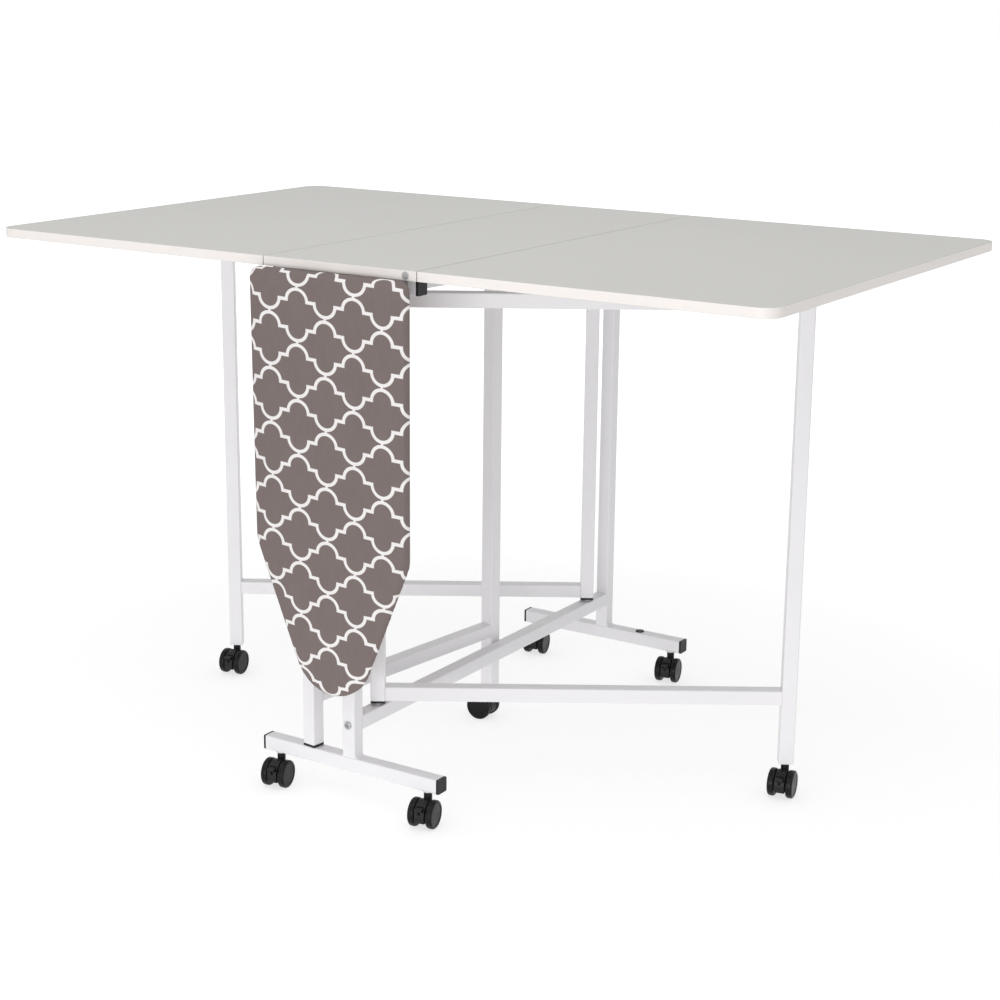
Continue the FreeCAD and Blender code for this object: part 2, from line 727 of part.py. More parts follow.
def all_nodes():
    centre_halves = right_hinge_halves(-1)
    leaf_halves = right_hinge_halves(1)
    nodes = {
        "centre_panel": centre_panel(),
        "right_leaf": right_leaf(),
        "left_leaf": turned(right_leaf()),
        "leaf_hinge_plates": Part.makeCompound(with_far_ones(centre_halves)),
        "right_hinge_flaps": Part.makeCompound(leaf_halves),
        "left_hinge_flaps": Part.makeCompound([turned(half) for half in leaf_halves]),
        "panel_screws": panel_screws(),
        "near_foot_bar": near_foot_bar(),
        "far_foot_bar": turned(near_foot_bar()),
        "near_post": near_post(),
        "far_post": turned(near_post()),
        "near_top_bar": near_top_bar(),
        "far_top_bar": turned(near_top_bar()),
        "lower_stretcher": stretcher(stretcher_bottom, stretcher_top - tube_wall),
        "upper_stretcher": stretcher(top_bar_bottom, top_bar_bottom),
        "frame_caps": frame_caps(),
        "spare_hole_plug": spare_hole_plug(),
        "frame_bolts": frame_bolts(),
        "gate_pivot_pins": gate_pivot_pins(),
        "ironing_deck": ironing_deck(),
        "ironing_cover": ironing_cover(),
        "ironing_hinge_brackets": both_board_hinges(board_hinge_bracket),
        "ironing_hinge_straps": both_board_hinges(board_hinge_strap),
    }
    nodes.update(gate("right_gate", right_gate_pivot, gate_open_angle, gate_length, gate_post_foot,
                      gate_post_cap_top))
    nodes.update(gate("left_gate", left_gate_pivot, left_gate_angle, gate_length, gate_post_foot,
                      gate_post_cap_top))
    nodes.update(gate("ironing_gate", ironing_gate_pivot, ironing_gate_angle, ironing_gate_length,
                      ironing_post_foot, ironing_post_cap_top))
    for prefix, (spot, angle) in caster_spots.items():
        nodes.update(caster(prefix, spot, angle))
    return nodes


def main():
    os.makedirs("parts", exist_ok=True)
    for name, shape in all_nodes().items():
        shape.translate(Y_AXIS * origin_shift)
        if not shape.isValid():
            print("not valid:", name)
        shape.exportStep(os.path.join("parts", name + ".step"))


main()
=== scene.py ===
import math
from functools import partial
import bmesh
import bpy
from mathutils import Matrix, Vector, kdtree


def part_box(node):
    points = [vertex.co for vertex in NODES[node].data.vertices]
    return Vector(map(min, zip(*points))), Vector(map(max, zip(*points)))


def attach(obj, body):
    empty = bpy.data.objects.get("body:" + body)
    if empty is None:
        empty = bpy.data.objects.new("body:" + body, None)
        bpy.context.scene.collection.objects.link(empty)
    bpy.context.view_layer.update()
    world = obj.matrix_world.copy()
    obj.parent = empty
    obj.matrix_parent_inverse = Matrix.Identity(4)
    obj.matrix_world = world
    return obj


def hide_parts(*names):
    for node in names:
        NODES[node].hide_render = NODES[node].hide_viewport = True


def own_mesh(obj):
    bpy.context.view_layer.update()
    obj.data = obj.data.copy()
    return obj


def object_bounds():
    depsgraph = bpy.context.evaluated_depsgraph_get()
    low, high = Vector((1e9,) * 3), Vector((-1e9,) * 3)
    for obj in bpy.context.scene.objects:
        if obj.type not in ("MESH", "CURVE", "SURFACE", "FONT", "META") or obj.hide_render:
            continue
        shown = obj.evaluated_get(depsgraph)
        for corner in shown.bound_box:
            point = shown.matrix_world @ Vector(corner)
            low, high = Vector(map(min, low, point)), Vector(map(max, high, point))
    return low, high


# Dresses the folding cutting table: finishes for the solid pieces, a padded cover for the ironing
# board, weld fillets on the frame, and a plain studio. Metres, in the same frame as the solids.

bl_info = {
    "name": "Folding Cutting Table",
    "version": (1, 0, 0),
    "blender": (4, 5, 0),
    "location": "View3D > Sidebar > Cutting Table",
    "description": "Finishes, padded ironing cover and studio for a folding cutting table",
    "category": "Object",
}

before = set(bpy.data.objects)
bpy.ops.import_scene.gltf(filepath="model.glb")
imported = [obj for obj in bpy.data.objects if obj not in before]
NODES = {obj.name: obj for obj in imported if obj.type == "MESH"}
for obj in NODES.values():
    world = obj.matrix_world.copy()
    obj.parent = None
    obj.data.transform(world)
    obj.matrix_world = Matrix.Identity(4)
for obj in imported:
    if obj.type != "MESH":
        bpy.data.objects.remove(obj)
CAD_LOW, CAD_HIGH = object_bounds()
COVER_LOW, COVER_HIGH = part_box("ironing_cover")
PANEL_LOW, PANEL_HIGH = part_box("centre_panel")
SEAM = (PANEL_HIGH.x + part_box("right_leaf")[0].x) / 2

PANELS = ("centre_panel", "right_leaf", "left_leaf")
WELDED_POSTS = ("near_post", "far_post")
STEEL_PIECES = ("panel_screws", "frame_bolts", "gate_pivot_pins")
TUBE_ENDINGS = ("_bar", "_post", "_rail", "_stretcher")
PLASTIC_ENDINGS = ("_caps", "_caster_body", "_brake", "_plug")

# Fineness of the cover's outline and of the cloth that swells it
MERGE_DISTANCE = 1e-5
CORNER_STEPS = 10
SHOULDER_STEPS = 8
TIP_STEPS = 20
RIM_SEGMENTS = 4
RIM_SPACING = 0.002
SWELL_FRAMES = 20
SWELL_PRESSURE = 4.0
CLOTH_QUALITY = 5

WHITE = (1.0, 1.0, 1.0, 1.0)


def colour_property(name, description, default):
    return bpy.props.FloatVectorProperty(name=name, description=description, default=default, size=3,
                                         min=0.0, max=1.0, subtype="COLOR")


def length_property(name, description, default):
    return bpy.props.FloatProperty(name=name, description=description, default=default, precision=4,
                                   unit="LENGTH")


def share_property(name, description, default):
    return bpy.props.FloatProperty(name=name, description=description, default=default, min=0.0, max=1.0,
                                   subtype="FACTOR")


def power_property(name, description, default):
    return bpy.props.FloatProperty(name=name, description=description, default=default, unit="POWER")


def place_property(name, description, default):
    return bpy.props.FloatVectorProperty(name=name, description=description, default=default, size=3,
                                         precision=4, subtype="TRANSLATION")


class FinishSettings(bpy.types.PropertyGroup):
    """Colours and gloss of the solid pieces."""
    laminate: colour_property("Laminate", "Faces of the table top", (0.595, 0.588, 0.563))
    sheet: length_property("Sheet", "Thickness of the laminate sheet that shows at an edge", 0.0005)
    edging: colour_property("Edging", "Band round the edges of the panels", (0.905, 0.862, 0.832))
    # The seam settings paint shade into the gaps between the panels of the top: a dark line that fades
    # out near the ends of each seam.
    seam_width: length_property("Seam width", "Dull line along each seam of the top", 0.0016)
    seam_end: length_property("Seam end", "Clean part of a seam at its two ends", 0.060)
    seam_painted_shade: share_property("Seam shade", "Brightness of the seams beside the laminate", 0.35)
    paint: colour_property("Paint", "Powder coat on the steel tube", (0.850, 0.838, 0.862))
    paint_roughness: share_property("Paint roughness", "Roughness of the powder coat", 0.36)
    plastic: colour_property("Plastic", "Black caps, caster bodies and brakes", (0.0095, 0.0095, 0.0102))
    wheel: colour_property("Wheel", "Black caster wheels", (0.0058, 0.0058, 0.0064))
    steel: colour_property("Steel", "Zinc-plated hinges, pins and screws", (0.46, 0.46, 0.47))
    deck: colour_property("Deck", "Board under the ironing cover", (0.46, 0.33, 0.205))


class CoverSettings(bpy.types.PropertyGroup):
    """Shape and print of the padded ironing cover."""
    corner_radius: length_property("Corner radius", "Corners at the hinged end", 0.018)
    shoulder_radius: length_property("Shoulder radius", "Bend where the board starts to taper", 0.060)
    tip_radius: length_property("Tip radius", "Rounding of the narrow end", 0.075)
    taper: bpy.props.FloatProperty(name="Taper", description="Slant of the sides towards the tip",
                                   default=math.radians(22.4), subtype="ANGLE")
    rim: length_property("Rim", "Rounding of the padded edge", 0.008)
    back_rim: length_property("Back rim", "Rounding where the cloth turns to the back", 0.003)
    ease: length_property("Ease", "How far the cloth stands off the board's own outline", 0.0020)
    left_ease: length_property(
        "Left ease", "How much fuller the cloth is at its upper left corner", 0.0050)
    top_ease: length_property(
        "Top ease", "Soft end that gives way to the table when the board is up", 0.0040)
    crown: length_property("Crown", "Depth that is kept free for the swelling front", 0.0015)
    back_gap: length_property("Back gap", "From the back of the cloth to the hinge straps", 0.0003)
    swell: length_property("Swell", "The furthest that the pad swells", 0.0022)
    mesh_size: length_property("Mesh size", "Spacing of the cloth's points", 0.0045)
    hem_width: length_property("Hem width", "Cloth that is turned over the back of the deck", 0.022)
    pocket_depth: length_property("Pocket depth", "Room for the deck behind the hem", 0.0096)
    pleat_spacing: length_property("Pleat spacing", "From one gather of the hem to the next", 0.015)
    pleat_height: length_property("Pleat height", "How far a gather of the hem stands up", 0.0012)
    gather_height: length_property("Gather height", "From the tip to where the gathers end", 0.105)
    gather_fade: length_property("Gather fade", "Hem over which the gathers rise", 0.0055)
    stitch_inset: length_property("Stitch inset", "From the start of the hem to its stitches", 0.0154)
    stitch_length: length_property("Stitch length", "One stitch of the hem and the gap after it", 0.005)
    stitch_gap: length_property("Stitch gap", "Gap between two stitches of the hem", 0.00125)
    thread_width: length_property("Thread width", "Width of the hem's stitches", 0.0012)
    column_spacing: length_property("Column spacing", "Between two columns of the trellis", 0.0547)
    row_spacing: length_property("Row spacing", "Between two cells in one column", 0.0890)
    lobe_half_width: length_property("Lobe half width", "From a lobe's middle to its line", 0.0200)
    neck_half_length: length_property(
        "Neck half length", "From a crossing to the lobes beside it", 0.0036)
    neck_width: length_property("Neck width", "Width of the bridge at a crossing", 0.0048)
    line_width: length_property("Line width", "Width of the trellis lines", 0.0056)
    print_start: bpy.props.FloatVectorProperty(
        name="Print start", description="One crossing: right of the middle, and down from the top",
        default=(0.0008, 0.0658), size=2, unit="LENGTH")
    print_slant: bpy.props.FloatProperty(
        name="Print slant", description="How far the rows fall to the right", default=0.050)
    weave_height: share_property("Weave height", "Height of the weave beside that of a stitch", 0.4)
    ground: colour_property("Ground", "Cotton between the lines", (0.198, 0.160, 0.153))
    line: colour_property("Line", "Printed trellis lines", (0.860, 0.835, 0.830))


class WeldSettings(bpy.types.PropertyGroup):
    """Weld fillets where the posts stand on the foot bars."""
    reach: length_property("Reach", "From the corner to the end of the fillet", 0.0055)
    sink: length_property("Sink", "How far the fillet's root lies inside the tube", 0.0005)
    tube_corner: length_property("Tube corner", "Rounded corner of the tube beside the fillet", 0.0025)
    steps: bpy.props.IntProperty(name="Steps", description="Facets across the fillet", default=8, min=3)


class StageSettings(bpy.types.PropertyGroup):
    """Camera, floor and lights."""
    eye: place_property("Eye", "Place of the camera", (1.8823, -2.9126, 1.3530))
    azimuth: bpy.props.FloatProperty(name="Azimuth", description="Turn of the camera about the upright",
                                     default=math.radians(32.828), subtype="ANGLE")
    elevation: bpy.props.FloatProperty(name="Elevation", description="Height of the camera as an angle",
                                       default=math.radians(14.754), subtype="ANGLE")
    roll: bpy.props.FloatProperty(name="Roll", description="Tilt of the picture",
                                  default=math.radians(0.532), subtype="ANGLE")
    focal_length: bpy.props.FloatProperty(name="Focal length", description="Lens in millimetres",
                                          default=72.39, unit="CAMERA")
    shift: bpy.props.FloatVectorProperty(name="Shift", description="Lens shift as a share of the width",
                                         default=(0.01205, -0.00144), size=2, precision=5)
    floor_size: length_property("Floor size", "Side of the floor", 30.0)
    floor_colour: colour_property("Floor", "Floor as the light sees it", (0.90, 0.90, 0.90))
    floor_lift: share_property("Floor lift", "Even white that the camera sees under the table", 0.70)
    floor_fade_start: length_property("Fade start", "Where the floor begins to turn to plain white", 1.0)
    floor_fade_end: length_property("Fade end", "Where the floor is plain white", 3.5)
    floor_shade: share_property("Floor shade", "How strongly the camera sees shadows on the floor", 0.45)
    sky: share_property("Sky", "Strength of the even light", 0.55)
    key_power: power_property("Key power", "Long low lamp in front", 172.0)
    key_width: length_property("Key width", "Width of the lamp in front", 5.0)
    key_height: length_property("Key height", "Height of the lamp in front", 1.4)
    key_place: place_property("Key place", "Place of the lamp in front", (2.2, -7.2, 0.85))
    top_power: power_property("Top power", "Soft lamp overhead", 23.0)
    top_size: length_property("Top size", "Side of the soft lamp overhead", 3.0)
    top_place: place_property("Top place", "Place of the soft lamp overhead", (0.2, -0.9, 3.0))
    bounce_power: power_property("Bounce power", "Light from the floor under the table", 4.8)
    bounce_width: length_property("Bounce width", "Width of the light from the floor", 2.6)
    bounce_depth: length_property("Bounce depth", "Depth of the light from the floor", 2.0)
    bounce_place: place_property("Bounce place", "Place of the light from the floor", (0.0, 0.0, 0.02))


# Helpers for objects and materials
def add_object(name, data):
    obj = bpy.data.objects.new(name, data)
    bpy.context.scene.collection.objects.link(obj)
    return obj


def add_mesh(name, bm):
    """Turns a finished bmesh into an object."""
    mesh = bpy.data.meshes.new(name)
    bm.to_mesh(mesh)
    bm.free()
    return add_object(name, mesh)


def evaluated_mesh(obj):
    depsgraph = bpy.context.evaluated_depsgraph_get()
    return bpy.data.meshes.new_from_object(obj.evaluated_get(depsgraph))


def feed(tree, socket, value):
    if isinstance(value, bpy.types.NodeSocket):
        tree.links.new(value, socket)
    else:
        socket.default_value = value


def add_node(tree, kind, inputs=None, **settings):
    made = tree.nodes.new(kind)
    for name, value in settings.items():
        setattr(made, name, value)
    for name, value in (inputs or {}).items():
        feed(tree, made.inputs[name], value)
    return made


def calculate(tree, operation, *values):
    made = add_node(tree, "ShaderNodeMath", operation=operation)
    for socket, value in zip(made.inputs, values):
        feed(tree, socket, value)
    return made.outputs[0]


def noise(tree, place, scale, detail=2.0):
    made = add_node(tree, "ShaderNodeTexNoise", {"Vector": place, "Scale": scale, "Detail": detail})
    return made.outputs["Fac"]


def spread(tree, value, low, high, start=0.3, end=0.7):
    """Takes a value between start and end to a range, from low to high."""
    made = add_node(tree, "ShaderNodeMapRange", {"Value": value, "From Min": start, "From Max": end,
                                                 "To Min": low, "To Max": high})
    return made.outputs["Result"]


def within(tree, distance, limit, softness=0.2):
    """One where a distance is under a limit, fading over a share of the limit on either side."""
    return spread(tree, distance, low=1.0, high=0.0,
                  start=limit * (1 - softness), end=limit * (1 + softness))


def blend_colours(tree, share, first, second):
    made = add_node(tree, "ShaderNodeMix", data_type="RGBA")
    feed(tree, made.inputs[0], share)
    feed(tree, made.inputs[6], first)
    feed(tree, made.inputs[7], second)
    return made.outputs[2]


def shade(colour, factor):
    return tuple(channel * factor for channel in colour) + (1.0,)


def vary(tree, tone, colour, low, high):
    """Varies the brightness of a colour with a noise value."""
    return blend_colours(tree, spread(tree, tone, 0.0, 1.0), shade(colour, low), shade(colour, high))


def stretched(tree, place, scale):
    return add_node(tree, "ShaderNodeMapping", {"Vector": place, "Scale": scale}).outputs["Vector"]


def pick(tree, share, first, second):
    made = add_node(tree, "ShaderNodeMix", data_type="FLOAT")
    feed(tree, made.inputs[0], share)
    feed(tree, made.inputs[2], first)
    feed(tree, made.inputs[3], second)
    return made.outputs[0]


def bump(tree, height, strength, distance):
    made = add_node(tree, "ShaderNodeBump",
                    {"Height": height, "Strength": strength, "Distance": distance})
    return made.outputs["Normal"]


def new_material(name):
    material = bpy.data.materials.new(name)
    material.use_nodes = True
    tree = material.node_tree
    spot = add_node(tree, "ShaderNodeTexCoord").outputs["Object"]
    return material, tree, tree.nodes["Principled BSDF"], spot


def give_material(names, material):
    for name in names:
        mesh = NODES[name].data
        mesh.materials.clear()
        mesh.materials.append(material)


# Finishes of the solid pieces
def sheet_mask(tree, height, finish):
    """One on the laminate sheets, at the top and the bottom of a panel."""
    below_top = calculate(tree, "SUBTRACT", PANEL_HIGH.z, height)
    above_bottom = calculate(tree, "SUBTRACT", height, PANEL_LOW.z)
    return within(tree, calculate(tree, "MINIMUM", below_top, above_bottom), finish.sheet)


def seam_shadow_mask(tree, across, along, finish):
    """One in the two seams of the top, where shade is painted, fading towards their ends."""
    from_middle = calculate(tree, "ABSOLUTE", across)
    off_seam = calculate(tree, "ABSOLUTE", calculate(tree, "SUBTRACT", from_middle, SEAM))
    in_seam = within(tree, off_seam, finish.seam_width / 2, softness=0.1)
    to_end = calculate(tree, "SUBTRACT", PANEL_HIGH.y, calculate(tree, "ABSOLUTE", along))
    past_end = spread(tree, to_end, low=0.0, high=1.0, start=0.0, end=finish.seam_end)
    return calculate(tree, "MULTIPLY", in_seam, past_end)


def laminate_material(finish):
    """Warm grey laminate sheets on the faces, off-white banding between them, and painted shade in the
    seams.
    """
    material, tree, shader, spot = new_material("grey_laminate")
    speckle = noise(tree, spot, scale=900.0, detail=3.0)
    cloud = noise(tree, spot, scale=3.0)
    tone = pick(tree, share=0.4, first=speckle, second=cloud)
    face = vary(tree, tone, finish.laminate, low=0.975, high=1.025)
    band = vary(tree, cloud, finish.edging, low=0.985, high=1.01)
    split = add_node(tree, "ShaderNodeSeparateXYZ", {"Vector": spot}).outputs
    clean = blend_colours(tree, sheet_mask(tree, split["Z"], finish), band, face)
    in_seam = seam_shadow_mask(tree, split["X"], split["Y"], finish)
    # Painted shade: the seams take a darkened laminate colour, standing in for the shade in the gaps
    # between the panels.
    seam_shadow_colour = shade(finish.laminate, finish.seam_painted_shade)
    feed(tree, shader.inputs["Base Color"], blend_colours(tree, in_seam, clean, seam_shadow_colour))
    feed(tree, shader.inputs["Roughness"], spread(tree, speckle, low=0.42, high=0.52))
    feed(tree, shader.inputs["Normal"], bump(tree, speckle, strength=0.15, distance=0.0001))
    return material


def paint_material(finish):
    """White powder coat with a fine orange peel."""
    material, tree, shader, spot = new_material("white_powder_coat")
    peel = noise(tree, spot, scale=700.0, detail=1.0)
    cloud = noise(tree, spot, scale=6.0)
    rough = finish.paint_roughness
    feed(tree, shader.inputs["Base Color"], vary(tree, cloud, finish.paint, low=0.985, high=1.015))
    feed(tree, shader.inputs["Roughness"], spread(tree, peel, low=rough - 0.05, high=rough + 0.06))
    feed(tree, shader.inputs["Normal"], bump(tree, peel, strength=0.25, distance=0.0001))
    return material


def plastic_material(name, colour, roughness, gloss, grain):
    """Moulded plastic with the fine grain of its mould and a little scuffing."""
    material, tree, shader, spot = new_material(name)
    texture = noise(tree, spot, scale=grain)
    scuff = noise(tree, spot, scale=55.0, detail=4.0)
    rough = spread(tree, scuff, low=roughness - 0.06, high=roughness + 0.10)
    feed(tree, shader.inputs["Base Color"], vary(tree, scuff, colour, low=0.9, high=1.3))
    feed(tree, shader.inputs["Roughness"], rough)
    feed(tree, shader.inputs["Normal"], bump(tree, texture, strength=0.25, distance=0.0001))
    shader.inputs["Specular IOR Level"].default_value = gloss
    return material


def steel_material(finish):
    """Zinc plating: cloudy, with fine drawn lines."""
    material, tree, shader, spot = new_material("zinc_steel")
    lines = noise(tree, stretched(tree, spot, scale=(1.0, 0.08, 1.0)), scale=1500.0)
    cloud = noise(tree, spot, scale=90.0, detail=3.0)
    feed(tree, shader.inputs["Base Color"], vary(tree, cloud, finish.steel, low=0.85, high=1.1))
    shader.inputs["Metallic"].default_value = 1.0
    feed(tree, shader.inputs["Roughness"], spread(tree, lines, low=0.30, high=0.46))
    feed(tree, shader.inputs["Normal"], bump(tree, lines, strength=0.2, distance=0.00005))
    return material


def deck_material(finish):
    """Pressed board: fine fibres with a faint grain along the board."""
    material, tree, shader, spot = new_material("pressed_board")
    fibre = noise(tree, stretched(tree, spot, scale=(1.0, 1.0, 0.15)), scale=380.0, detail=5.0)
    cloud = noise(tree, spot, scale=18.0, detail=3.0)
    tone = pick(tree, share=0.3, first=fibre, second=cloud)
    feed(tree, shader.inputs["Base Color"], vary(tree, tone, finish.deck, low=0.75, high=1.15))
    feed(tree, shader.inputs["Roughness"], spread(tree, fibre, low=0.62, high=0.78))
    feed(tree, shader.inputs["Normal"], bump(tree, fibre, strength=0.3, distance=0.0002))
    return material


def fold_print(tree, uv, cover):
    """Folds the print to one quarter of a cell, from a crossing to the step line."""
    work = partial(calculate, tree)
    spacing = cover.column_spacing
    half_row = cover.row_spacing / 2
    split = add_node(tree, "ShaderNodeSeparateXYZ", {"Vector": uv})
    across = work("SUBTRACT", split.outputs["X"], cover.print_start[0])
    up = work("SUBTRACT", split.outputs["Y"], COVER_HIGH.z - cover.print_start[1])
    up = work("ADD", up, work("MULTIPLY", across, cover.print_slant))
    side = work("PINGPONG", across, spacing)
    height = work("PINGPONG", up, half_row)
    upper = work("GREATER_THAN", height, half_row / 2)
    side = pick(tree, upper, side, work("SUBTRACT", spacing, side))
    height = pick(tree, upper, height, work("SUBTRACT", half_row, height))
    return side, height


def trellis_mask(tree, uv, cover):
    """One where the print has a line: lobes that meet at crossings, with square steps between them."""
    work = partial(calculate, tree)
    spacing = cover.column_spacing
    quarter = cover.row_spacing / 4
    lobe = cover.lobe_half_width
    depth = quarter - cover.neck_half_length
    half_line = cover.line_width / 2
    side, height = fold_print(tree, uv, cover)
    below_step = work("SUBTRACT", quarter, height)

    # Distances from the round lobe, from the square step and from the neck at the crossing
    lobe_x = work("DIVIDE", side, lobe)
    lobe_y = work("DIVIDE", below_step, depth)
    reach = work("SQRT", work("ADD", work("MULTIPLY", lobe_x, lobe_x), work("MULTIPLY", lobe_y, lobe_y)))
    off_lobe = work("MULTIPLY", work("ABSOLUTE", work("SUBTRACT", reach, 1.0)), (lobe + depth) / 2)
    off_middle = work("ABSOLUTE", work("SUBTRACT", side, spacing / 2))
    off_step = work("MAXIMUM", below_step, work("SUBTRACT", off_middle, spacing / 2 - lobe))
    past_neck = work("SUBTRACT", side, cover.neck_width / 2 - half_line)
    above_neck = work("SUBTRACT", height, cover.neck_half_length - half_line)
    off_neck = work("MAXIMUM", past_neck, above_neck)
    off_line = work("MINIMUM", work("MINIMUM", off_lobe, off_step), off_neck)
    return within(tree, off_line, half_line, softness=0.125)


def stitch_mask(tree, hem_uv, cover, line_at):
    """One on the stitches of the hem: dashes along the rim at one distance round the section."""
    split = add_node(tree, "ShaderNodeSeparateXYZ", {"Vector": hem_uv})
    along = calculate(tree, "PINGPONG", split.outputs["X"], cover.stitch_length / 2)
    dash = calculate(tree, "GREATER_THAN", along, cover.stitch_gap / 2)
    off = calculate(tree, "ABSOLUTE", calculate(tree, "SUBTRACT", split.outputs["Y"], line_at))
    near = within(tree, off, cover.thread_width / 2)
    return calculate(tree, "MULTIPLY", dash, near)


def weave_relief(tree, cloth):
    """Threads of a plain weave, along and across."""
    threads = {"Vector": cloth, "Scale": 320.0, "Distortion": 0.6}
    warp = add_node(tree, "ShaderNodeTexWave", threads, bands_direction="X")
    weft = add_node(tree, "ShaderNodeTexWave", threads, bands_direction="Y")
    return calculate(tree, "MAXIMUM", warp.outputs["Fac"], weft.outputs["Fac"])


def cotton_material(cover, stitch_line):
    """Printed cotton: plain weave, faint slubs along the board and a trace of sheen."""
    material, tree, shader, _ = new_material("trellis_cotton")
    cloth = add_node(tree, "ShaderNodeUVMap", uv_map="Cloth").outputs["UV"]
    hem = add_node(tree, "ShaderNodeUVMap", uv_map="Hem").outputs["UV"]
    slub = noise(tree, stretched(tree, cloth, scale=(1.0, 0.06, 1.0)), scale=420.0, detail=3.0)
    tone = pick(tree, share=0.4, first=slub, second=noise(tree, cloth, scale=22.0))
    ground = vary(tree, tone, cover.ground, low=0.95, high=1.06)
    line = vary(tree, tone, cover.line, low=0.97, high=1.02)
    printed = blend_colours(tree, trellis_mask(tree, cloth, cover), ground, line)
    stitches = stitch_mask(tree, hem, cover, stitch_line)
    colour = blend_colours(tree, stitches, printed, shade(cover.ground, factor=1.7))
    weave = calculate(tree, "MULTIPLY", weave_relief(tree, cloth), cover.weave_height)
    relief = calculate(tree, "ADD", weave, stitches)
    rough = spread(tree, noise(tree, cloth, scale=260.0), low=0.78, high=0.92)
    feed(tree, shader.inputs["Base Color"], colour)
    feed(tree, shader.inputs["Roughness"], rough)
    feed(tree, shader.inputs["Normal"], bump(tree, relief, strength=0.25, distance=0.0003))
    shader.inputs["Specular IOR Level"].default_value = 0.15
    shader.inputs["Sheen Weight"].default_value = 0.05
    shader.inputs["Sheen Roughness"].default_value = 0.5
    return material


# Padded ironing cover
def step_vertex(bm, start, goal):
    """Draws a straight edge from a vertex to a goal and gives the new end."""
    made = bmesh.ops.extrude_vert_indiv(bm, verts=[start])
    bmesh.ops.translate(bm, verts=made["verts"], vec=goal - start.co)
    return made["verts"][0]


def sweep_vertex(bm, start, centre, angle, steps):
    """Draws an arc from a vertex about a centre, in the board's own plane, and gives the new end."""
    made = bmesh.ops.spin(bm, geom=[start], cent=centre, axis=(0, 1, 0), angle=angle, steps=steps)
    return [item for item in made["geom_last"] if isinstance(item, bmesh.types.BMVert)][0]


def pad_depths(cover):
    """Y of the pad's flat front before it swells, and of its back."""
    return COVER_LOW.y + cover.crown, COVER_HIGH.y - cover.back_gap


def board_outline(cover, back, ease):
    """Outline of the board as one face at the depth of the pad's back, let out by the eases."""
    bm = bmesh.new()
    half = (COVER_HIGH.x - COVER_LOW.x) / 2 + ease
    top = COVER_HIGH.z + ease
    tip_centre = COVER_LOW.z + cover.tip_radius
    tip_radius = cover.tip_radius + ease
    corner = cover.corner_radius + ease
    shoulder = cover.shoulder_radius + ease
    apex = tip_centre - tip_radius / math.sin(cover.taper)
    shoulder_bend = apex + half / math.tan(cover.taper) + shoulder * math.tan(cover.taper / 2)
    tip_start = Vector((math.cos(cover.taper), 0, -math.sin(cover.taper))) * tip_radius
    tip_start += Vector((0, back, tip_centre))
    end = bm.verts.new((0, back, top))
    end = step_vertex(bm, end, Vector((half - corner, back, top)))
    end = sweep_vertex(bm, end, (half - corner, back, top - corner), math.pi / 2, CORNER_STEPS)
    end = step_vertex(bm, end, Vector((half, back, shoulder_bend)))
    end = sweep_vertex(bm, end, (half - shoulder, back, shoulder_bend), cover.taper, SHOULDER_STEPS)
    end = step_vertex(bm, end, tip_start)
    sweep_vertex(bm, end, (0, back, tip_centre), math.pi / 2 - cover.taper, TIP_STEPS)
    bmesh.ops.mirror(bm, geom=bm.verts[:] + bm.edges[:], axis="X", merge_dist=MERGE_DISTANCE)
    bmesh.ops.remove_doubles(bm, verts=bm.verts[:], dist=MERGE_DISTANCE)
    for vert in bm.verts:
        up = max(vert.co.z - shoulder_bend, 0.0) / (top - shoulder_bend)
        left = max(-vert.co.x, 0.0) / half
        vert.co.x -= cover.left_ease * up * left
        vert.co.z += cover.top_ease * up
    bmesh.ops.contextual_create(bm, geom=bm.edges[:])
    return bm


class Rim:
    """The outline of the board as closely spaced points, to find a place's distance from the rim."""

    def __init__(self, cover):
        bm = board_outline(cover, pad_depths(cover)[1], cover.ease)
        bm.faces.ensure_lookup_table()
        corners = [vert.co.copy() for vert in bm.faces[0].verts]
        bm.free()
        self.points = []
        for start, end in zip(corners, corners[1:] + corners[:1]):
            pieces = max(1, math.ceil((end - start).length / RIM_SPACING))
            self.points += [start.lerp(end, piece / pieces) for piece in range(pieces)]
        self.tree = kdtree.KDTree(len(self.points))
        self.tangents = []
        self.lengths = []
        length = 0.0
        middle = sum(self.points, Vector()) / len(self.points)
        for i, point in enumerate(self.points):
            following = self.points[(i + 1) % len(self.points)]
            tangent = (following - self.points[i - 1]).normalized()
            self.tree.insert(point, i)
            self.tangents.append(tangent)
            self.lengths.append(length)
            length += (following - point).length
        self.tree.balance()
        outward = self.tangents[0].cross(Vector((0, 1, 0)))
        self.sense = 1.0 if outward.dot(self.points[0] - middle) > 0 else -1.0

    def find(self, place):
        """Distance inside the rim, outward direction and length along the rim of a place."""
        flat = Vector((place.x, self.points[0].y, place.z))
        point, i, _ = self.tree.find(flat)
        tangent = self.tangents[i]
        outward = tangent.cross(Vector((0, 1, 0))) * self.sense
        return (point - flat).dot(outward), outward, self.lengths[i] + (flat - point).dot(tangent)


